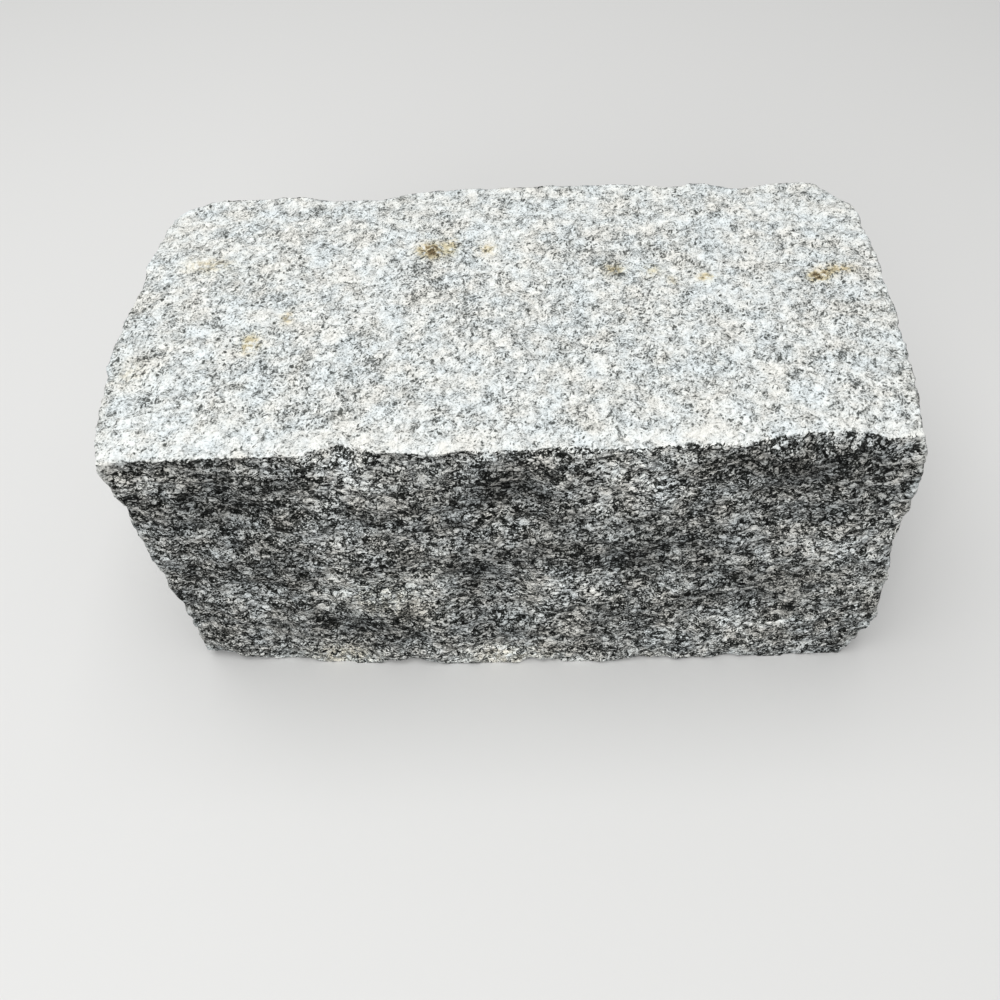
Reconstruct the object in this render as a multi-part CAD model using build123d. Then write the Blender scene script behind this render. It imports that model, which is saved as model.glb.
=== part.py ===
"""Granite belgian block: one hand-split stone, as it lies on a level floor.

Millimetres. X runs along the length, -Y is the fresh split front, +Z is up and
the bed lies on z = 0. Relief is measured outward from the mean plane of a face.
"""

from build123d import *
import os

# The stone between the mean planes of its split faces.
LENGTH = 242
DEPTH = 127
HEIGHT = 109

# Rough stone beyond each mean plane, which the splits take away.
OVERRUN = 30

# Relief of the five split faces: rows from the bed up, or from front to back on
# the top, each read from left to right as the face is looked at. The outer rows
# and columns lie one overrun outside the face.
FRONT_RELIEF = (
    (-6, 6, 8.5, 7, 9),
    (-1, 1, 1.5, 0.5, -1),
    (8, 0.5, -2, -4, -5),
)
BACK_RELIEF = (
    (-3, -2, -2, -3, -5),
    (0, 2, 2, -1, -2),
    (0, 1.5, 1, -2.5, 0),
)
LEFT_RELIEF = (
    (-10, -7, -6, -14),
    (-5, 0, 1, -8),
    (-2, 4, 8, -11),
)
RIGHT_RELIEF = (
    (8, 6, 4, 0),
    (-4, 1, 1.5, -1),
    (-9.5, -5, -3.5, -3),
)
TOP_RELIEF = (
    (-1, 0.5, 0, 0.5, -1.5),
    (0, 1, 0, 1, 0),
    (-1.5, -0.5, 0.5, -0.5, -2),
)

# Shallow hollows where flakes came off a split face: place along it as the face is
# looked at, height over the bed, width and bite.
FRONT_SCARS = (
    (-90, 80, 34, 1.8),
    (-4, 86, 30, 1.6),
    (84, 82, 36, 2),
    (-12, 47, 40, 2),
    (38, 52, 30, 1.8),
    (-92, 42, 28, 1.5),
    (-66, 20, 30, 1.5),
    (80, 34, 32, 1.6),
)
BACK_SCARS = ((-72, 66, 46, 2), (6, 38, 52, 2.2), (52, 76, 40, 1.8))
LEFT_SCARS = ((2, 68, 40, 2), (30, 34, 34, 1.8))
RIGHT_SCARS = ((-18, 42, 38, 2), (22, 72, 40, 2))

# Back left upright arris, worn round.
BACK_LEFT_RADIUS = 22

# Broken corners: lengths lost along the face, along the end and down or up the arris.
BACK_TOP_BREAK = (12, 13, 40)
FRONT_TOP_BREAK = (3, 20, 10)
RIGHT_FOOT_BREAK = (10, 50, 26)
LEFT_FOOT_BREAK = (26, 18, 4.5)

# Chips along an arris: place along it, width and bite. Along the upright arrises
# the place is the height over the bed.
TOP_FRONT_CHIPS = ((-54, 24, 3.5), (-14, 15, 2), (10, 22, 1.5), (86, 40, 3))
TOP_BACK_CHIPS = ((-58, 44, 3), (54, 20, 2), (81, 22, 2.6))
TOP_LEFT_CHIPS = ((-57, 8, 1), (14, 24, 1.2))
FOOT_FRONT_CHIPS = ((-84, 20, 1.5), (-42, 24, 2.5), (6, 18, 2), (46, 26, 1.5), (76, 18, 1.2))
FRONT_LEFT_CHIPS = ((84, 16, 1.5), (34, 22, 1.5))
FRONT_RIGHT_CHIPS = ((68, 24, 1.6), (38, 16, 0.8))


def split_surface(mean: Plane, width: float, height: float, relief) -> Face:
    """A waved surface over the mean plane, wider than the face it splits off."""
    rows = len(relief)
    columns = len(relief[0])
    points = []
    for row in range(rows):
        v = -OVERRUN + (height + 2 * OVERRUN) * row / (rows - 1)
        line = []
        for column in range(columns):
            u = (width + 2 * OVERRUN) * (column / (columns - 1) - 0.5)
            line.append(mean.from_local_coords((u, v, relief[row][column])))
        points.append(line)
    return Face.make_surface_from_array_of_points(points, min_deg=3, max_deg=5)


def scoop(point: Vector, outward: Vector, width: float, bite: float) -> Part:
    """A ball that takes a shallow scoop of this width and bite out of the stone."""
    radius = (width**2 / 4 + bite**2) / (2 * bite)
    return Pos(point + outward * (radius - bite)) * Sphere(radius)


def split_off(stone: Part, mean: Plane, width: float, height: float, relief, scars) -> Part:
    """The stone less all that stands outside the split surface and its scars."""
    surface = split_surface(mean, width, height, relief)
    stone -= extrude(surface, 2 * OVERRUN, dir=mean.z_dir)
    for place, rise, scar_width, bite in scars:
        line = Axis(mean.from_local_coords((place, rise, 0)), mean.z_dir)
        point, _ = surface.find_intersection_points(line)[0]
        stone -= scoop(point, mean.z_dir, scar_width, bite)
    return stone


def arris_point(stone: Part, station: Plane, outward: Vector) -> Vector:
    """The point that stands farthest out where the station plane cuts the stone."""
    cut = section(stone, section_by=station)
    return max((vertex.center() for vertex in cut.vertices()), key=outward.dot)


def chip(stone: Part, station: Plane, outward: Vector, width: float, bite: float) -> Part:
    """The stone with one shallow scoop out of an arris."""
    return stone - scoop(arris_point(stone, station, outward), outward, width, bite)


def corner_break(stone: Part, toward: Vector, lost) -> Part:
    """The stone with the corner toward a direction broken off across its three arrises."""
    corner = max((vertex.center() for vertex in stone.vertices()), key=toward.dot)
    inward = [-1 if way > 0 else 1 for way in toward]
    along = corner + Vector(inward[0] * lost[0], 0, 0)
    across = corner + Vector(0, inward[1] * lost[1], 0)
    upright = corner + Vector(0, 0, inward[2] * lost[2])
    facing = (across - along).cross(upright - along).normalized()
    if facing.dot(corner - along) < 0:
        facing = -facing
    return split(stone, bisect_by=Plane(along, z_dir=facing), keep=Keep.BOTTOM)


# Blank with the bed flat on the floor.
footprint = Rectangle(LENGTH + OVERRUN, DEPTH + OVERRUN)
block = extrude(footprint, HEIGHT + OVERRUN)

# The five splits.
front = Plane((0, -DEPTH / 2, 0), x_dir=(1, 0, 0), z_dir=(0, -1, 0))
back = Plane((0, DEPTH / 2, 0), x_dir=(-1, 0, 0), z_dir=(0, 1, 0))
left = Plane((-LENGTH / 2, 0, 0), x_dir=(0, -1, 0), z_dir=(-1, 0, 0))
right = Plane((LENGTH / 2, 0, 0), x_dir=(0, 1, 0), z_dir=(1, 0, 0))
top = Plane((0, -DEPTH / 2, HEIGHT), x_dir=(1, 0, 0), z_dir=(0, 0, 1))
block = split_off(block, front, LENGTH, HEIGHT, FRONT_RELIEF, FRONT_SCARS)
block = split_off(block, back, LENGTH, HEIGHT, BACK_RELIEF, BACK_SCARS)
block = split_off(block, left, DEPTH, HEIGHT, LEFT_RELIEF, LEFT_SCARS)
block = split_off(block, right, DEPTH, HEIGHT, RIGHT_RELIEF, RIGHT_SCARS)
block = split_off(block, top, LENGTH, DEPTH, TOP_RELIEF, ())

# Corners worn and broken off.
back_left = block.edges().filter_by(lambda edge: edge.center().X < 0 < edge.center().Y)
upright = max(back_left, key=lambda edge: abs((edge @ 1 - edge @ 0).Z))
block = fillet(upright, BACK_LEFT_RADIUS)
block = corner_break(block, Vector(1, 1, 1), BACK_TOP_BREAK)
block = corner_break(block, Vector(1, -1, 1), FRONT_TOP_BREAK)
block = corner_break(block, Vector(1, -1, -1), RIGHT_FOOT_BREAK)
block = corner_break(block, Vector(-1, -1, -1), LEFT_FOOT_BREAK)

# Chips out of the arrises that show: station plane at zero, way out and chips.
for station, outward, chips in (
    (Plane.YZ, Vector(0, -2, 1), TOP_FRONT_CHIPS),
    (Plane.YZ, Vector(0, 1, 1), TOP_BACK_CHIPS),
    (Plane.YZ, Vector(0, -1, -1), FOOT_FRONT_CHIPS),
    (Plane.ZX, Vector(-1, 0, 1), TOP_LEFT_CHIPS),
    (Plane.XY, Vector(-1, -1, 0), FRONT_LEFT_CHIPS),
    (Plane.XY, Vector(1, -1, 0), FRONT_RIGHT_CHIPS),
):
    for place, width, bite in chips:
        block = chip(block, station.offset(place), outward.normalized(), width, bite)

# Origin at the middle of the bed's box.
box = block.bounding_box()
block = Pos(-box.center().X, -box.center().Y, 0) * block

os.makedirs("parts", exist_ok=True)
export_step(block, "parts/granite_block.step")
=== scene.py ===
"""Looks of the granite belgian block: split relief, chipped arrises and finish.

Metres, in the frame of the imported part: X along the length, -Y out of the fresh
split front, Z up, bed on the floor. Finishes are worked out in millimetres.
"""

import logging
import math
from dataclasses import dataclass, field
from enum import Enum

import bpy
import numpy as np
from mathutils import Matrix, Vector
from mathutils.kdtree import KDTree


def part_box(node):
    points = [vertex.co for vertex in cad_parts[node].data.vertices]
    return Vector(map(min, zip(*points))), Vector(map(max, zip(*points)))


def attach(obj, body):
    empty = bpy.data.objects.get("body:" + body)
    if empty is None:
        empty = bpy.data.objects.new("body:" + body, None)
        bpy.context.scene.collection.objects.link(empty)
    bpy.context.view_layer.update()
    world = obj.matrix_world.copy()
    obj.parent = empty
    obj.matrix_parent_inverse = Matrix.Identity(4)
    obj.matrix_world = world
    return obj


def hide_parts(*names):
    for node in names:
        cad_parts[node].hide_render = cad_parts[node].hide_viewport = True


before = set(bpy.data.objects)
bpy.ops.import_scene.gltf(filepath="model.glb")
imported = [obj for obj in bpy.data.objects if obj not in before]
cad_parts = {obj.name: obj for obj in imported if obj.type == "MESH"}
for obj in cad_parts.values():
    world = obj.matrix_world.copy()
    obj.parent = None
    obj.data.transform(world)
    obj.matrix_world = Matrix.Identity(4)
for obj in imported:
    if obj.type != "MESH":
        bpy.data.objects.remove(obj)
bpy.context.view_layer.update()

MM = 0.001
LOG = logging.getLogger("granite_block")

Socket = bpy.types.NodeSocket
Colour = tuple[float, float, float]
Point = tuple[float, float, float]
Span = tuple[float, float]
Stops = tuple[tuple[float, Colour], ...]


class Zone(Enum):
    """Where a layer of relief is laid or a tone is painted on the stone."""

    TOP = "top"
    SIDES = "sides"
    ARRIS = "arris"
    RIM = "rim"


class Grain(Enum):
    """Texture that shapes a layer of relief."""

    WAVES = "ORIGINAL_PERLIN"
    SCARS = "VORONOI_F1"
    PEBBLES = "BLENDER_ORIGINAL"


class Pattern(Enum):
    """What makes one spot of the granite lighter or darker than the next."""

    FELDSPAR = "feldspar crystals"
    FLAKE = "larger mica flakes"
    FLECK = "smaller mica flakes"
    FINE = "finest grain"
    CLUMP = "clumps of like crystals"
    BAND = "bands, veins and dark patches"
    # Dark seams between feldspars: partly mica between the grains, partly painted shade in the
    # crevices between them.
    SEAM = "seams between feldspars"
    MICA = "black mica grains"
    # Painted highlights: bright grains that stand for light caught by small cleavage faces.
    PAINTED_GLINT = "bright grains"
    SPECK = "rare black specks"


@dataclass(frozen=True)
class Relief:
    """One layer of relief over the solid.

    Attributes:
        name: Layer's name.
        zone: Where it lies.
        grain: Texture that shapes it.
        size: Width of a bump in mm along the three axes.
        height: Height from the deepest to the highest point, in mm; a negative
            height bites into the stone.
        level: Share of the height that stands below the solid's own face.
        depth: Octaves of finer detail.
        floor: Share of the texture that is cut flat, so that bites stand apart.
    """

    name: str
    zone: Zone
    grain: Grain
    size: Point
    height: float
    level: float = 0.5
    depth: int = 2
    floor: float = 0.0


@dataclass(frozen=True)
class Patch:
    """A patch of the top or the front that differs from the stone around it, in mm.

    Attributes:
        x: Place along the length.
        up: Place up the face as it is looked at: Y on the top and Z on the front.
        long: Half length along X.
        tall: Half height up the face.
        strength: Share in the middle; below 0 it is the opposite.
    """

    x: float
    up: float
    long: float
    tall: float
    strength: float


@dataclass(frozen=True)
class Noise:
    """A cloudy pattern with values around 0.5.

    Attributes:
        size: Width of a cloud in mm.
        detail: Octaves.
        rough: Weight of the finer octaves.
    """

    size: float
    detail: float = 2.0
    rough: float = 0.55


@dataclass(frozen=True)
class Bend:
    """A soft bending of a pattern to and fro.

    Attributes:
        size: Width of a bend in mm.
        amount: Width in mm over which a place is moved.
    """

    size: float
    amount: float


@dataclass(frozen=True)
class Dots:
    """Grains that stand apart.

    Attributes:
        cell: Width in mm of the cells that may hold a grain.
        share: Share of the cells that hold one.
        radius: Radius of a grain as a share of the width of its cell.
        fade: Width of its soft rim, as a share of the same.
    """

    cell: float
    share: float
    radius: float
    fade: float = 0.1


@dataclass(frozen=True)
class Tones:
    """Colours of one kind of face, from its darkest spots to its lightest.

    Attributes:
        base: Lightness without the patterns.
        weights: What each pattern adds to it.
        ramp: Colours along the lightness.
        gain: How much brighter the pale bands are beyond that.
    """

    base: float
    weights: tuple[tuple[Pattern, float], ...]
    ramp: Stops
    gain: float = 0.0


@dataclass(frozen=True)
class Crystals:
    """Outputs of a pattern of crystals.

    Attributes:
        chance: Number from 0 to 1 that is the same over a crystal.
        tilt: Height in mm over the crystal's middle of its tilted face.
    """

    chance: Socket
    tilt: Socket


class Tree:
    """Short calls that add the nodes of one material."""

    def __init__(self, material: bpy.types.Material) -> None:
        """Starts from an empty node tree.

        Args:
            material: Material whose nodes are built.
        """
        material.use_nodes = True
        self.nodes = material.node_tree.nodes
        self.links = material.node_tree.links
        self.nodes.clear()

    def add(self, kind: str, values: dict[str | int, object], **choices: str) -> bpy.types.Node:
        """Adds a node.

        Args:
            kind: Blender's name of the node, without its first word.
            values: Input names or numbers with the socket to link or the value to set.
            **choices: Other settings of the node.

        Returns:
            The new node.
        """
        node = self.nodes.new(f"ShaderNode{kind}")
        for name, choice in choices.items():
            setattr(node, name, choice)
        for key, value in values.items():
            socket = node.inputs[key]
            if isinstance(value, bpy.types.NodeSocket):
                self.links.new(value, socket)
            else:
                socket.default_value = value
        return node

    def maths(self, operation: str, a: object, b: object = 0.0, c: object = 0.0) -> Socket:
        """Adds a Math node.

        Args:
            operation: Blender's name of the operation.
            a: First number or socket.
            b: Second number or socket.
            c: Third number or socket.

        Returns:
            The result.
        """
        return self.add("Math", {0: a, 1: b, 2: c}, operation=operation).outputs[0]

    def centred(self, pattern: Socket) -> Socket:
        """Measures a pattern from 0.5."""
        return self.maths("SUBTRACT", pattern, 0.5)

    def stretch(self, value: Socket, span: Span) -> Socket:
        """Maps a span to 0..1 and clips what lies outside.

        Args:
            value: Number to map.
            span: Values that give 0 and 1.

        Returns:
            The mapped number.
        """
        low, high = span
        return self.add("MapRange", {"Value": value, "From Min": low, "From Max": high}).outputs[0]

    def noise(self, at: Socket, noise: Noise) -> Socket:
        """Adds a noise pattern.

        Args:
            at: Place in mm.
            noise: Its sizes.

        Returns:
            The pattern, around 0.5.
        """
        values = {"Scale": 1.0 / noise.size, "Detail": noise.detail, "Roughness": noise.rough}
        return self.add("TexNoise", {"Vector": at, **values}).outputs["Fac"]

    def warp(self, at: Socket, bend: Bend) -> Socket:
        """Bends a place to and fro.

        Args:
            at: Place in mm.
            bend: Its sizes.

        Returns:
            The bent place.
        """
        cloud = self.add("TexNoise", {"Vector": at, "Scale": 1.0 / bend.size, "Detail": 0.0})
        values = {0: cloud.outputs["Color"], 1: (bend.amount,) * 3, 2: at}
        return self.add("VectorMath", values, operation="MULTIPLY_ADD").outputs[0]

    def crystals(self, at: Socket, size: float) -> Crystals:
        """Adds a pattern of crystals, each with a chance value and a tilted face.

        Args:
            at: Place in mm.
            size: Width of a crystal in mm.

        Returns:
            The pattern's chance and tilt.
        """
        cell = self.add("TexVoronoi", {"Vector": at, "Scale": 1.0 / size})
        colour = cell.outputs["Color"]
        chance = self.add("SeparateColor", {"Color": colour}).outputs[0]
        way = self.add("VectorMath", {0: colour, 1: (0.5, 0.5, 0.5)}, operation="SUBTRACT")
        away = self.add("VectorMath", {0: at, 1: cell.outputs["Position"]}, operation="SUBTRACT")
        values = {0: way.outputs[0], 1: away.outputs[0]}
        tilt = self.add("VectorMath", values, operation="DOT_PRODUCT").outputs["Value"]
        return Crystals(chance, tilt)

    def seams(self, at: Socket, size: float, edge: Span) -> Socket:
        """Adds the borders between the crystals of a pattern.

        Args:
            at: Place in mm.
            size: Width of a crystal in mm.
            edge: Distances from the border, as shares of that width, that give 0 and 1.

        Returns:
            1 along a border and 0 inside a crystal.
        """
        values = {"Vector": at, "Scale": 1.0 / size}
        border = self.add("TexVoronoi", values, feature="DISTANCE_TO_EDGE")
        return self.stretch(border.outputs["Distance"], edge)

    def dots(self, at: Socket, dots: Dots) -> Socket:
        """Adds grains that stand apart.

        Args:
            at: Place in mm.
            dots: Their sizes.

        Returns:
            1 in a grain and 0 outside.
        """
        cell = self.add("TexVoronoi", {"Vector": at, "Scale": 1.0 / dots.cell})
        split = self.add("SeparateColor", {"Color": cell.outputs["Color"]})
        held = self.maths("LESS_THAN", split.outputs[2], dots.share)
        inside = self.stretch(cell.outputs["Distance"], (dots.radius + dots.fade, dots.radius))
        return self.maths("MULTIPLY", held, inside)

    def ramp(self, value: Socket, stops: Stops) -> Socket:
        """Adds a colour ramp.

        Args:
            value: Number along the ramp.
            stops: Positions with their colours.

        Returns:
            The colour.
        """
        node = self.add("ValToRGB", {"Fac": value})
        elements = node.color_ramp.elements
        while len(elements) < len(stops):
            elements.new(1.0)
        for element, (position, colour) in zip(elements, stops, strict=True):
            element.position = position
            element.color = (*colour, 1.0)
        return node.outputs["Color"]

    def mix(self, share: object, a: object, b: object, blend: str = "MIX") -> Socket:
        """Mixes two colours.

        Args:
            share: Share of the second colour.
            a: First colour.
            b: Second colour.
            blend: Blender's name of the blend.

        Returns:
            The mixed colour.
        """
        a, b = (v if isinstance(v, bpy.types.NodeSocket) else (*v, 1.0) for v in (a, b))
        values = {0: share, 6: a, 7: b}
        return self.add("Mix", values, data_type="RGBA", blend_type=blend).outputs[2]

    def attribute(self, name: str) -> Socket:
        """Reads a number stored on the mesh, by its name."""
        return self.add("Attribute", {}, attribute_name=name).outputs["Fac"]

    def mapped(self, at: Socket, scale: Point, turn: Point = (0.0, 0.0, 0.0)) -> Socket:
        """Scales and turns a place.

        Args:
            at: Place.
            scale: Factors along the three axes, used after the turn.
            turn: Angles in degrees.

        Returns:
            The new place.
        """
        for values in ({"Rotation": tuple(map(math.radians, turn))}, {"Scale": scale}):
            at = self.add("Mapping", {"Vector": at, **values}).outputs[0]
        return at


@dataclass(frozen=True)
class GraniteFinish:
    """Grey granite: fresh and dark on split faces, pale and bruised on the top.

    Attributes:
        name: Material's name.
        fresh: Tones of a fresh split face, from biotite to feldspar.
        bruised: Tones of the bruised top.
        rust: Tints of a stain from its rim to its middle.
        warm: Tint of the warmer patches.
        cool: Tint of the cooler patches.
        tints: Cloud that lays out those patches.
        tint_edge: Values of the cloud at which they are fully cool and fully warm.
        clump_tint: How much warmer the pale clumps of crystals are.
        spots: Cloud that breaks the rust up.
        spot_edge: Values of the cloud between which the rust sets in.
        foliation: Turn in degrees of the plane in which the crystals lie flat.
        flattening: How much thinner the dark bands are across that plane.
        lineation: Turn in degrees about Z of the way in which the crystals are drawn out.
        drawing: How much longer they are along it.
        pressing: How much lower they are than wide.
        grain_bend: Bending of the crystals.
        band_bend: Bending of the bands and clumps.
        feldspar: Width in mm of a feldspar crystal.
        mica: Widths in mm of the larger and the smaller mica flakes.
        seam: Distances from a feldspar's border between which its dark seam sets in; the seam is
            partly mica between grains and partly painted shade in the crevices.
        fine: Finest grain.
        clumps: Clumps of like crystals.
        bands: Paler and darker bands.
        band_share: Share of the bands that the listed patches leave.
        patch_share: What such a patch at full strength adds to them.
        rich: Cloud of the places rich in black mica.
        rich_edge: Values of the cloud between which they set in.
        mica_grains: Black mica grains.
        painted_glints: Bright grains painted in as highlights, for light caught by small cleavage
            faces.
        specks: Rare black specks of the bruised top.
        ragged: Cloud that frays the edge of the bruising.
        fraying: How far it does so.
        rim_bruise: Bruising of the worn rims, as a share of that of the top.
        bruise_edge: Shares of bruising between which fresh stone turns bruised.
        grit: Bump of the grain.
        grit_height: Its height in mm.
        tilts: Steepness of the tilted feldspars and larger flakes.
        bruised_bump: Share of the bump that bruised stone keeps.
        roughness: Roughness of the smoothest and the dullest crystals.
        gloss: Strength of their reflections.
    """

    name: str = "granite"
    fresh: Tones = Tones(
        base=0.569,
        weights=(
            (Pattern.FLAKE, 0.55),
            (Pattern.FLECK, 0.75),
            (Pattern.FINE, 2.2),
            (Pattern.FELDSPAR, 0.7),
            (Pattern.CLUMP, 1.0),
            (Pattern.BAND, 0.75),
            # Dark seams: partly mica, partly painted crevice shade.
            (Pattern.SEAM, -0.25),
            (Pattern.MICA, -0.3),
            # Painted highlights: bright grains for light caught by cleavage faces.
            (Pattern.PAINTED_GLINT, 0.5),
        ),
        ramp=(
            (0.10, (0.0090, 0.0102, 0.0090)),
            (0.32, (0.0500, 0.0535, 0.0490)),
            (0.48, (0.172, 0.179, 0.171)),
            (0.64, (0.494, 0.504, 0.496)),
            (0.80, (0.906, 0.920, 0.909)),
            (1.00, (0.950, 0.964, 0.954)),
        ),
        gain=2.0,
    )
    bruised: Tones = Tones(
        base=0.56,
        weights=(
            (Pattern.FLAKE, 0.45),
            (Pattern.FLECK, 0.6),
            (Pattern.FINE, 2.2),
            (Pattern.FELDSPAR, 0.3),
            (Pattern.CLUMP, 0.8),
            (Pattern.BAND, 0.6),
            (Pattern.MICA, -0.6),
            (Pattern.SPECK, -1.1),
        ),
        ramp=(
            (0.00, (0.092, 0.098, 0.093)),
            (0.25, (0.427, 0.440, 0.435)),
            (0.50, (0.684, 0.701, 0.696)),
            (0.75, (0.851, 0.870, 0.869)),
            (1.00, (0.931, 0.949, 0.950)),
        ),
    )
    rust: Stops = (
        (0.00, (1.0, 1.0, 1.0)),
        (0.45, (0.87, 0.75, 0.52)),
        (1.00, (0.24, 0.17, 0.085)),
    )
    warm: Colour = (1.0, 0.976, 0.924)
    cool: Colour = (0.932, 0.975, 0.988)
    tints: Noise = Noise(12.0, 4.0, 0.65)
    tint_edge: Span = (0.36, 0.64)
    clump_tint: float = 0.25
    spots: Noise = Noise(2.0, 3.0, 0.6)
    spot_edge: Span = (0.34, 0.58)
    foliation: Point = (-8.0, -6.0, 0.0)
    flattening: float = 1.5
    lineation: float = 62.0
    drawing: float = 1.35
    pressing: float = 1.2
    grain_bend: Bend = Bend(1.8, 2.0)
    band_bend: Bend = Bend(16.0, 9.0)
    feldspar: float = 2.3
    mica: Span = (1.2, 0.5)
    # Dark seams: partly mica, partly painted shade in the crevices between feldspars.
    seam: Span = (0.11, 0.03)
    fine: Noise = Noise(0.6, 2.0, 0.6)
    clumps: Noise = Noise(5.0)
    bands: Noise = Noise(22.0)
    band_share: float = 0.55
    patch_share: float = 0.21
    rich: Noise = Noise(9.0, 3.0)
    rich_edge: Span = (0.45, 0.62)
    mica_grains: Dots = Dots(1.1, 0.5, 0.34)
    # Painted highlights: bright dots for light caught by small cleavage faces.
    painted_glints: Dots = Dots(0.9, 0.25, 0.36)
    specks: Dots = Dots(5.0, 0.7, 0.06)
    ragged: Noise = Noise(3.2, 3.0, 0.6)
    fraying: float = 1.5
    rim_bruise: float = 0.8
    bruise_edge: Span = (0.35, 0.6)
    grit: Noise = Noise(1.4, 1.0)
    grit_height: float = 1.2
    tilts: Span = (1.1, 1.3)
    bruised_bump: float = 0.5
    roughness: Span = (0.5, 0.8)
    gloss: float = 0.25

    def material(self) -> bpy.types.Material:
        """Builds the material.

        Returns:
            The granite material.
        """
        material = bpy.data.materials.new(self.name)
        tree = Tree(material)
        place = tree.add("TexCoord", {}).outputs["Object"]
        place = tree.mapped(place, (1 / MM, 1 / MM, 1 / MM))
        drawn = (1.0 / self.drawing, 1.0, self.pressing)
        grained = tree.mapped(place, drawn, (0.0, 0.0, -self.lineation))
        bent = tree.warp(grained, self.grain_bend)
        grains = [tree.crystals(bent, size) for size in (self.feldspar, *self.mica)]
        patterns = self.patterns(tree, place, bent, grains)

        bruise = self.bruising(tree, place)
        fresh, bruised = (self.face(tree, tones, patterns) for tones in (self.fresh, self.bruised))
        colour = tree.mix(bruise, fresh, bruised)
        colour = self.stained(tree, place, colour, patterns[Pattern.CLUMP])

        smooth, dull = self.roughness
        values = {
            "Base Color": colour,
            "Roughness": tree.maths("MULTIPLY_ADD", grains[0].chance, dull - smooth, smooth),
            "Normal": self.bump(tree, grained, grains, bruise),
            "Specular IOR Level": self.gloss,
        }
        shader = tree.add("BsdfPrincipled", values)
        tree.add("OutputMaterial", {"Surface": shader.outputs[0]})
        return material

    def patterns(
        self, tree: Tree, place: Socket, bent: Socket, grains: list[Crystals]
    ) -> dict[Pattern, Socket]:
        """Lays out the patterns of the granite.

        Args:
            tree: Nodes of the material.
            place: Place in mm.
            bent: Place drawn out along the lineation and bent to and fro.
            grains: Feldspar, larger and smaller mica.

        Returns:
            The patterns, each around 0 or from 0 up.
        """
        feldspar, flake, fleck = (tree.centred(grain.chance) for grain in grains)
        bedded = tree.mapped(place, (1.0, 1.0, self.flattening), self.foliation)
        bedded = tree.warp(bedded, self.band_bend)
        band = tree.centred(tree.noise(bedded, self.bands))
        band = tree.maths("MULTIPLY", band, self.band_share)
        rich = tree.stretch(tree.noise(place, self.rich), self.rich_edge)
        return {
            Pattern.FELDSPAR: feldspar,
            Pattern.FLAKE: flake,
            Pattern.FLECK: fleck,
            Pattern.FINE: tree.centred(tree.noise(place, self.fine)),
            Pattern.CLUMP: tree.centred(tree.noise(bedded, self.clumps)),
            Pattern.BAND: tree.maths("MULTIPLY_ADD", tree.attribute("pale"), self.patch_share, band),
            # Dark seams: partly mica, partly painted shade in the crevices between feldspars.
            Pattern.SEAM: tree.seams(bent, self.feldspar, self.seam),
            Pattern.MICA: tree.maths("MULTIPLY", tree.dots(bent, self.mica_grains), rich),
            # Painted highlights: bright grains for light caught by cleavage faces.
            Pattern.PAINTED_GLINT: tree.dots(bent, self.painted_glints),
            Pattern.SPECK: tree.dots(place, self.specks),
        }

    def face(self, tree: Tree, tones: Tones, patterns: dict[Pattern, Socket]) -> Socket:
        """Works out the colour of one kind of face.

        Args:
            tree: Nodes of the material.
            tones: Tones of the face.
            patterns: Patterns of the granite.

        Returns:
            The colour.
        """
        light = tones.base
        for pattern, weight in tones.weights:
            light = tree.maths("MULTIPLY_ADD", patterns[pattern], weight, light)
        colour = tree.ramp(light, tones.ramp)
        if tones.gain:
            gain = tree.maths("MULTIPLY_ADD", patterns[Pattern.BAND], tones.gain, 1.0)
            colour = tree.mix(1.0, colour, gain, "MULTIPLY")
        return colour

    def bruising(self, tree: Tree, place: Socket) -> Socket:
        """Works out where the stone is bruised, with a frayed edge.

        Args:
            tree: Nodes of the material.
            place: Place in mm.

        Returns:
            1 on bruised stone and 0 on fresh.
        """
        rim = tree.attribute("arris")
        share = tree.maths("MULTIPLY_ADD", rim, self.rim_bruise, tree.attribute("bruise"))
        cloud = tree.centred(tree.noise(place, self.ragged))
        share = tree.maths("MULTIPLY_ADD", cloud, self.fraying, share)
        return tree.stretch(share, self.bruise_edge)

    def stained(self, tree: Tree, place: Socket, colour: Socket, clump: Socket) -> Socket:
        """Tints a colour by the warm and cool patches and by the rust.

        Args:
            tree: Nodes of the material.
            place: Place in mm.
            colour: Colour of the stone.
            clump: Clumps of like crystals.

        Returns:
            The tinted colour.
        """
        patch = tree.maths("MULTIPLY_ADD", clump, self.clump_tint, tree.noise(place, self.tints))
        tint = tree.mix(tree.stretch(patch, self.tint_edge), self.cool, self.warm)
        colour = tree.mix(1.0, colour, tint, "MULTIPLY")
        spotted = tree.stretch(tree.noise(place, self.spots), self.spot_edge)
        rust = tree.maths("MULTIPLY", tree.attribute("rust"), spotted)
        return tree.mix(1.0, colour, tree.ramp(rust, self.rust), "MULTIPLY")

    def bump(self, tree: Tree, grained: Socket, grains: list[Crystals], bruise: Socket) -> Socket:
        """Raises the grain and tilts the crystals.

        Args:
            tree: Nodes of the material.
            grained: Place drawn out along the lineation.
            grains: Feldspar, larger and smaller mica.
            bruise: 1 on bruised stone and 0 on fresh.

        Returns:
            The bumped normal.
        """
        height = tree.maths("MULTIPLY", tree.noise(grained, self.grit), self.grit_height)
        feldspar, flake, _ = grains
        for grain, steepness in zip((feldspar, flake), self.tilts, strict=True):
            height = tree.maths("MULTIPLY_ADD", grain.tilt, steepness, height)
        strength = tree.maths("MULTIPLY_ADD", bruise, self.bruised_bump - 1.0, 1.0)
        values = {"Height": height, "Distance": MM, "Strength": strength}
        return tree.add("Bump", values).outputs[0]


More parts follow.
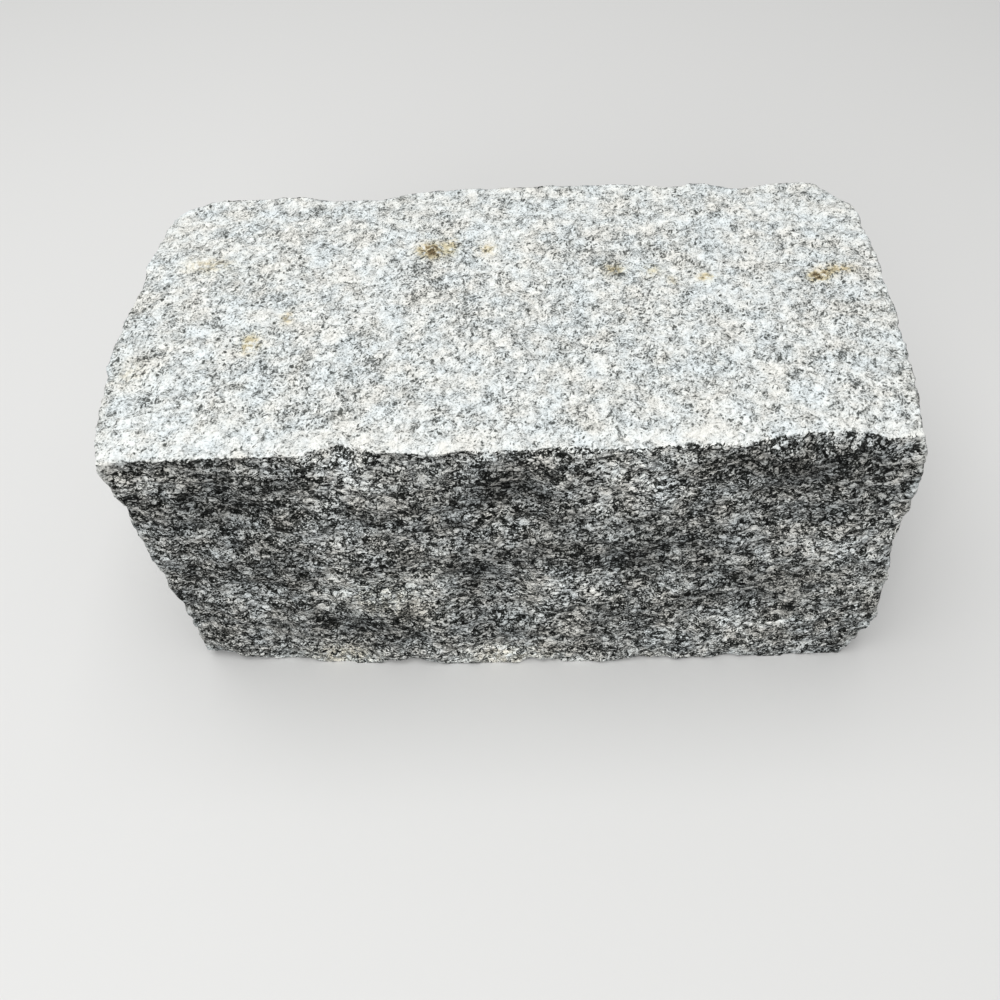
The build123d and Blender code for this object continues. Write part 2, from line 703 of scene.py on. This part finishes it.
@dataclass
class SplitBlock:
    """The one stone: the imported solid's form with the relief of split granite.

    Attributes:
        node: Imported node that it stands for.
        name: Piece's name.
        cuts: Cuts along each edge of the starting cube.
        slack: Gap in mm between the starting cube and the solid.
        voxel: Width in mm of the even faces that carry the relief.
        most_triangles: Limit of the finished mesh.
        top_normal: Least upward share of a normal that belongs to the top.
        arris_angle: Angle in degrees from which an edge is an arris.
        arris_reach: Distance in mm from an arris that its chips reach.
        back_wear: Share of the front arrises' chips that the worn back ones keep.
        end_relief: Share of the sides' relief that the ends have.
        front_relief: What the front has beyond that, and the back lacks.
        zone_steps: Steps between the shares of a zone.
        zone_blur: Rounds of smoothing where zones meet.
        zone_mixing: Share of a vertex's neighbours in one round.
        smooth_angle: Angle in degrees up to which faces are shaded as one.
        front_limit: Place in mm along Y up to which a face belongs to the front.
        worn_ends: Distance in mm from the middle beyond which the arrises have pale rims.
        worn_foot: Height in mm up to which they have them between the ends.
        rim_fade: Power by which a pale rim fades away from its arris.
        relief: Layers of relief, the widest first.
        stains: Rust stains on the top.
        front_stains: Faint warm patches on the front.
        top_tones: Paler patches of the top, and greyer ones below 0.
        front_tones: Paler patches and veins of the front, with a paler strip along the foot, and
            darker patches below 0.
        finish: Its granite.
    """

    node: str = "granite_block"
    name: str = "split_granite"
    cuts: int = 100
    slack: float = 4.0
    voxel: float = 0.85
    most_triangles: int = 190_000
    top_normal: float = 0.86
    arris_angle: float = 25.0
    arris_reach: float = 6.0
    back_wear: float = 0.3
    end_relief: float = 0.75
    front_relief: float = 0.25
    zone_steps: int = 10
    zone_blur: int = 4
    zone_mixing: float = 0.5
    smooth_angle: float = 60.0
    front_limit: float = -50.0
    worn_ends: float = 112.0
    worn_foot: float = 20.0
    rim_fade: int = 3
    relief: tuple[Relief, ...] = (
        Relief("waves", Zone.SIDES, Grain.WAVES, (38, 38, 34), 1.6),
        Relief("dishing", Zone.TOP, Grain.WAVES, (45, 45, 45), 3.0),
        Relief("scars", Zone.SIDES, Grain.SCARS, (15, 15, 15), 3.2),
        Relief("flakes", Zone.SIDES, Grain.PEBBLES, (6.5, 6.5, 5.5), 2.2),
        Relief("pecking", Zone.TOP, Grain.PEBBLES, (4.5, 4.5, 4.5), 2.0),
        Relief("bites", Zone.ARRIS, Grain.WAVES, (8, 8, 8), -2.4, 0.0, floor=0.48),
        Relief("nibbles", Zone.ARRIS, Grain.PEBBLES, (3.2, 3.2, 3.2), -0.8, 0.0, floor=0.4),
    )
    stains: tuple[Patch, ...] = (
        Patch(98.2, 11.6, 2.6, 2.2, 1.5),
        Patch(101.0, 13.6, 3.4, 2.2, 0.65),
        Patch(106.4, 15.3, 4.5, 2.4, 0.7),
        Patch(-29.4, 30.4, 3.4, 3.4, 1.8),
        Patch(-22.4, 32.5, 2.8, 4.6, 0.6),
        Patch(-10.3, 30.7, 3.0, 3.2, 0.5),
        Patch(-84.0, -15.5, 2.8, 4.0, 0.8),
        Patch(-103.1, 23.4, 7.5, 3.4, 0.4),
        Patch(-73.7, -3.7, 1.6, 2.6, 0.6),
        Patch(32.3, 18.9, 3.2, 3.2, 0.65),
        Patch(44.5, 18.0, 3.0, 2.8, 0.4),
        Patch(51.0, 13.2, 1.6, 2.2, 0.4),
        Patch(62.0, 13.7, 2.8, 1.9, 0.75),
        Patch(-118.5, -28.2, 4.5, 5.5, 0.15),
    )
    front_stains: tuple[Patch, ...] = (
        Patch(-66.0, 4.0, 14.0, 6.0, 0.25),
        Patch(-46.0, 40.0, 16.0, 12.0, 0.15),
        Patch(-4.0, 5.0, 14.0, 7.0, 0.2),
    )
    top_tones: tuple[Patch, ...] = (
        Patch(-16.0, -4.0, 5.0, 7.0, -1.0),
        Patch(-28.0, 14.0, 12.0, 6.0, -0.5),
        Patch(12.0, -1.0, 5.0, 5.0, -0.8),
        Patch(59.0, -5.0, 13.0, 5.0, -0.9),
        Patch(104.0, -20.0, 10.0, 26.0, -0.6),
        Patch(-66.0, -28.0, 16.0, 4.0, -0.9),
        Patch(-84.0, -17.0, 5.0, 6.0, -0.9),
        Patch(-102.0, 20.0, 14.0, 7.0, -0.5),
        Patch(32.0, 20.0, 6.0, 6.0, -1.2),
        Patch(98.0, 8.0, 8.0, 6.0, -0.7),
        Patch(73.0, 5.0, 10.0, 6.0, 0.9),
        Patch(84.0, 50.0, 12.0, 8.0, 0.9),
        Patch(6.0, -20.0, 5.0, 26.0, 0.8),
        Patch(-58.0, 16.0, 12.0, 14.0, 0.6),
        Patch(0.0, -60.0, 300.0, 9.0, 1.0),
        Patch(0.0, 64.0, 300.0, 10.0, 0.4),
    )
    front_tones: tuple[Patch, ...] = (
        Patch(-50.0, 96.0, 9.0, 12.0, 0.8),
        Patch(34.0, 96.0, 16.0, 10.0, 1.3),
        Patch(-58.0, 60.0, 9.0, 13.0, 0.8),
        Patch(-46.0, 40.0, 18.0, 8.0, 1.3),
        Patch(15.0, 43.0, 14.0, 9.0, 0.9),
        Patch(108.0, 60.0, 14.0, 11.0, 1.3),
        Patch(78.0, 18.0, 34.0, 7.0, 0.5),
        Patch(-8.0, 5.0, 12.0, 9.0, 0.8),
        Patch(-72.0, 4.0, 14.0, 8.0, 0.7),
        # Darker patches, the first three high on the front just under the top arris.
        Patch(-90.0, 88.0, 14.0, 15.0, -0.9),
        Patch(-5.0, 94.0, 18.0, 8.0, -0.9),
        Patch(85.0, 100.0, 28.0, 10.0, -1.0),
        Patch(-12.0, 53.0, 12.0, 9.0, -0.9),
        Patch(39.0, 57.0, 12.0, 10.0, -1.0),
        Patch(-62.0, 22.0, 22.0, 8.0, -0.5),
        # Paler strip along the foot.
        Patch(10.0, 3.0, 90.0, 7.0, 1.1),
    )
    finish: GraniteFinish = field(default_factory=GraniteFinish)

    def build(self) -> bpy.types.Object:
        """Models the stone and dresses it.

        Returns:
            The finished piece.
        """
        piece = self.blank()
        self.wrap(piece)
        self.mark_zones(piece)
        for layer in self.relief:
            self.lay(piece, layer)
        self.thin(piece)
        self.paint(piece)
        piece.data.materials.append(self.finish.material())
        return piece

    def blank(self) -> bpy.types.Object:
        """Adds a cube a little larger than the solid and divides its sides.

        Returns:
            The divided cube.
        """
        low, high = (Vector(corner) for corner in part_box(self.node))
        bpy.ops.object.select_all(action="DESELECT")
        bpy.ops.mesh.primitive_cube_add(size=1.0, location=(low + high) / 2)
        piece = bpy.context.object
        piece.name = self.name
        gap = Vector((2 * self.slack * MM,) * 3)
        piece.scale = high - low + gap
        bpy.ops.object.transform_apply(location=True, rotation=True, scale=True)
        bpy.ops.object.mode_set(mode="EDIT")
        bpy.ops.mesh.select_all(action="SELECT")
        bpy.ops.mesh.subdivide(number_cuts=self.cuts)
        bpy.ops.object.mode_set(mode="OBJECT")
        return piece

    def wrap(self, piece: bpy.types.Object) -> None:
        """Draws the cube onto the solid and evens out its faces.

        Args:
            piece: Divided cube.
        """
        wrap = piece.modifiers.new("wrap", "SHRINKWRAP")
        wrap.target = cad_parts[self.node]
        wrap.wrap_method = "NEAREST_SURFACEPOINT"
        bpy.ops.object.modifier_apply(modifier=wrap.name)
        even = piece.modifiers.new("even", "REMESH")
        even.mode = "VOXEL"
        even.voxel_size = self.voxel * MM
        bpy.ops.object.modifier_apply(modifier=even.name)

    @staticmethod
    def read(mesh: bpy.types.Mesh, name: str) -> np.ndarray:
        """Reads a vector of each vertex.

        Args:
            mesh: Mesh to read.
            name: Blender's name of the vector, such as that of its place.

        Returns:
            One row a vertex.
        """
        rows = np.empty(len(mesh.vertices) * 3, np.float32)
        mesh.vertices.foreach_get(name, rows)
        return rows.reshape(-1, 3)

    def nearness(self, mesh: bpy.types.Mesh, places: np.ndarray) -> np.ndarray:
        """Measures how near the vertices lie to an arris.

        Args:
            mesh: Even mesh of the solid.
            places: Places of its vertices in m.

        Returns:
            1 on an arris, down to 0 where its chips end.
        """
        bpy.ops.object.mode_set(mode="EDIT")
        bpy.ops.mesh.select_mode(type="EDGE")
        bpy.ops.mesh.select_all(action="DESELECT")
        bpy.ops.mesh.edges_select_sharp(sharpness=math.radians(self.arris_angle))
        bpy.ops.object.mode_set(mode="OBJECT")
        chosen = np.empty(len(places), bool)
        mesh.vertices.foreach_get("select", chosen)
        sharp = np.flatnonzero(chosen)
        tree = KDTree(len(sharp))
        for index in sharp:
            tree.insert(places[index], int(index))
        tree.balance()
        LOG.info("arris vertices %d of %d", len(sharp), len(places))
        reach = self.arris_reach * MM
        return np.array([max(0.0, 1.0 - tree.find(place)[2] / reach) for place in places])

    def mark_zones(self, piece: bpy.types.Object) -> None:
        """Gives each zone of relief a vertex group, by normal and by nearness to an arris.

        Args:
            piece: Even mesh of the solid.
        """
        places = self.read(piece.data, "co")
        normals = self.read(piece.data, "normal")
        near = self.nearness(piece.data, places)
        bed = places[:, 2] < self.voxel * MM
        top = (normals[:, 2] > self.top_normal) & ~bed
        rough = self.end_relief - self.front_relief * normals[:, 1]
        y = places[:, 1]
        wear = np.interp(y, (y.min(), y.max()), (1.0, self.back_wear))
        weights = {
            Zone.TOP: top * 1.0,
            Zone.SIDES: (~top & ~bed) * rough,
            Zone.ARRIS: near * wear * ~bed,
            Zone.RIM: near * ~bed,
        }
        for zone, weight in weights.items():
            group = piece.vertex_groups.new(name=zone.value)
            steps = np.round(weight * self.zone_steps)
            for step in range(1, self.zone_steps + 1):
                rows = np.flatnonzero(steps == step)
                group.add(rows.tolist(), step / self.zone_steps, "REPLACE")
        bpy.ops.object.mode_set(mode="EDIT")
        bpy.ops.mesh.select_all(action="SELECT")
        blur = {"factor": self.zone_mixing, "repeat": self.zone_blur}
        bpy.ops.object.vertex_group_smooth(group_select_mode="ALL", **blur)
        bpy.ops.object.mode_set(mode="OBJECT")

    def lay(self, piece: bpy.types.Object, layer: Relief) -> None:
        """Displaces the mesh by one layer of relief.

        Args:
            piece: Mesh with the zones' vertex groups.
            layer: Relief to lay.
        """
        texture = bpy.data.textures.new(layer.name, "CLOUDS")
        texture.noise_basis = layer.grain.value
        texture.noise_scale = 1.0
        texture.noise_depth = layer.depth
        if layer.floor:
            texture.use_color_ramp = True
            elements = texture.color_ramp.elements
            elements[0].position = layer.floor
            elements[0].color = (0.0, 0.0, 0.0, 1.0)
            elements[1].color = (1.0, 1.0, 1.0, 1.0)
        bpy.ops.object.select_all(action="DESELECT")
        bpy.ops.object.empty_add()
        gauge = bpy.context.object
        gauge.scale = Vector(layer.size) * MM
        gauge.rotation_euler = tuple(-math.radians(angle) for angle in self.finish.foliation)
        bpy.context.view_layer.update()
        bpy.context.view_layer.objects.active = piece
        displace = piece.modifiers.new(layer.name, "DISPLACE")
        displace.texture = texture
        displace.texture_coords = "OBJECT"
        displace.texture_coords_object = gauge
        displace.vertex_group = layer.zone.value
        displace.strength = layer.height * MM
        displace.mid_level = layer.level
        bpy.ops.object.modifier_apply(modifier=displace.name)
        bpy.data.objects.remove(gauge)
        bpy.data.textures.remove(texture)

    def thin(self, piece: bpy.types.Object) -> None:
        """Brings the mesh under its limit, sets the bed level and smooths the shading.

        Args:
            piece: Mesh with its relief.
        """
        mesh = piece.data
        thin = piece.modifiers.new("thin", "DECIMATE")
        thin.ratio = min(1.0, self.most_triangles / (2 * len(mesh.polygons)))
        thin.use_collapse_triangulate = True
        bpy.ops.object.modifier_apply(modifier=thin.name)
        places = self.read(mesh, "co")
        places[:, 2] = np.maximum(places[:, 2], 0.0)
        mesh.vertices.foreach_set("co", places.ravel())
        bpy.ops.object.select_all(action="DESELECT")
        piece.select_set(True)
        bpy.ops.object.shade_smooth_by_angle(angle=math.radians(self.smooth_angle))

    def paint(self, piece: bpy.types.Object) -> None:
        """Stores the shares of bruising, pale rims, rust and paler stone on the mesh.

        Args:
            piece: Finished mesh.
        """
        mesh = piece.data
        x, y, z = self.read(mesh, "co").T / MM
        groups = {group.index: group.name for group in piece.vertex_groups}
        shares = {zone.value: np.zeros(len(x)) for zone in Zone}
        for vertex in mesh.vertices:
            for member in vertex.groups:
                shares[groups[member.group]][vertex.index] = member.weight
        piece.vertex_groups.clear()
        top = shares[Zone.TOP.value]
        front = (1.0 - top) * (y < self.front_limit)
        worn = (np.abs(x) > self.worn_ends) | (z < self.worn_foot)
        stains = top * self.spread(self.stains, x, y)
        tones = top * self.spread(self.top_tones, x, y)
        values = {
            "bruise": top,
            "arris": worn * shares[Zone.RIM.value] ** self.rim_fade,
            "rust": stains + front * self.spread(self.front_stains, x, z),
            "pale": tones + front * self.spread(self.front_tones, x, z),
        }
        for name, value in values.items():
            stored = mesh.attributes.new(name, "FLOAT", "POINT")
            stored.data.foreach_set("value", value.astype(np.float32))

    @staticmethod
    def spread(patches: tuple[Patch, ...], x: np.ndarray, up: np.ndarray) -> np.ndarray:
        """Adds up patches that fade out from their middles.

        Args:
            patches: Patches of one face.
            x: Places of the vertices along the length in mm.
            up: Their places up the face in mm.

        Returns:
            The share at each vertex.
        """
        total = np.zeros(len(x))
        for patch in patches:
            away = ((x - patch.x) / patch.long) ** 2 + ((up - patch.up) / patch.tall) ** 2
            total += patch.strength * np.exp(-away)
        return total


@dataclass(frozen=True)
class Lamp:
    """A soft square lamp.

    Attributes:
        name: Lamp's name.
        place: Its middle in m.
        size: Its width in m.
        power: Its power in W.
    """

    name: str
    place: Point
    size: float
    power: float


@dataclass
class Studio:
    """Pale floor, soft light from above and the camera of the photograph.

    Attributes:
        floor_half: Half width of the floor in m.
        floor_colour: Colour of the floor as the camera sees it.
        floor_glow: Colour that it throws back onto the stone.
        floor_roughness: Roughness of the floor.
        lamps: Soft lamps.
        middle: Place in m that the lamps point at.
        world: Strength of the even light all round.
        eye: Camera's place in m.
        dip: Camera's angle below level, in degrees.
        roll: Camera's roll in degrees.
        lens: Focal length in mm.
        sensor: Width in mm of the picture behind the lens.
    """

    floor_half: float = 30.0
    floor_colour: Colour = (0.78, 0.78, 0.77)
    floor_glow: Colour = (0.10, 0.10, 0.10)
    floor_roughness: float = 0.9
    lamps: tuple[Lamp, ...] = (
        Lamp("overhead_lamp", (-0.2, 0.0, 1.1), 1.0, 7.4),
        Lamp("front_lamp", (-0.4, -1.3, 0.9), 1.0, 9.1),
    )
    middle: Point = (0.0, 0.0, 0.055)
    world: float = 0.4
    eye: Point = (-0.00707, -0.24826, 0.322)
    dip: float = 51.41
    roll: float = -1.0
    lens: float = 36.0
    sensor: float = 36.0

    def build(self) -> None:
        """Sets up the floor, the light and the camera."""
        self.lay_floor()
        self.light()
        self.place_camera()
        bpy.context.scene.view_settings.view_transform = "Standard"

    def lay_floor(self) -> None:
        """Adds the pale floor under the bed."""
        bpy.ops.object.select_all(action="DESELECT")
        bpy.ops.mesh.primitive_plane_add(size=2 * self.floor_half)
        floor = bpy.context.object
        floor.name = "floor"
        material = bpy.data.materials.new("pale_floor")
        tree = Tree(material)
        seen = tree.add("LightPath", {}).outputs["Is Camera Ray"]
        values = {
            "Base Color": tree.mix(seen, self.floor_glow, self.floor_colour),
            "Roughness": self.floor_roughness,
            "Specular IOR Level": 0.0,
        }
        shader = tree.add("BsdfPrincipled", values)
        tree.add("OutputMaterial", {"Surface": shader.outputs[0]})
        floor.data.materials.append(material)

    def light(self) -> None:
        """Adds the lamps and the even light all round."""
        for lamp in self.lamps:
            bpy.ops.object.light_add(type="AREA", location=lamp.place)
            light = bpy.context.object
            light.name = lamp.name
            light.data.size = lamp.size
            light.data.energy = lamp.power
            away = Vector(lamp.place) - Vector(self.middle)
            light.rotation_euler = away.to_track_quat("Z", "Y").to_euler()
        world = bpy.data.worlds.new("studio")
        world.use_nodes = True
        sky = world.node_tree.nodes["Background"]
        sky.inputs["Strength"].default_value = self.world
        sky.inputs["Color"].default_value = (1.0, 1.0, 1.0, 1.0)
        bpy.context.scene.world = world

    def place_camera(self) -> None:
        """Adds the camera at the angle of the photograph."""
        bpy.ops.object.camera_add()
        camera = bpy.context.object
        camera.name = "camera"
        camera.data.sensor_width = self.sensor
        camera.data.lens = self.lens
        tilt = Matrix.Rotation(math.radians(90.0 - self.dip), 4, "X")
        roll = Matrix.Rotation(math.radians(self.roll), 4, "Z")
        camera.matrix_world = Matrix.Translation(self.eye) @ tilt @ roll
        bpy.context.scene.camera = camera


def main() -> None:
    """Builds the stone and the studio, and notes the size of the result."""
    logging.basicConfig(level=logging.INFO, format="%(name)s: %(message)s")
    block = SplitBlock()
    piece = block.build()
    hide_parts(block.node)
    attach(piece, "root")
    LOG.info("%s: %d faces", piece.name, len(piece.data.polygons))
    Studio().build()


if __name__ == "__main__":
    main()
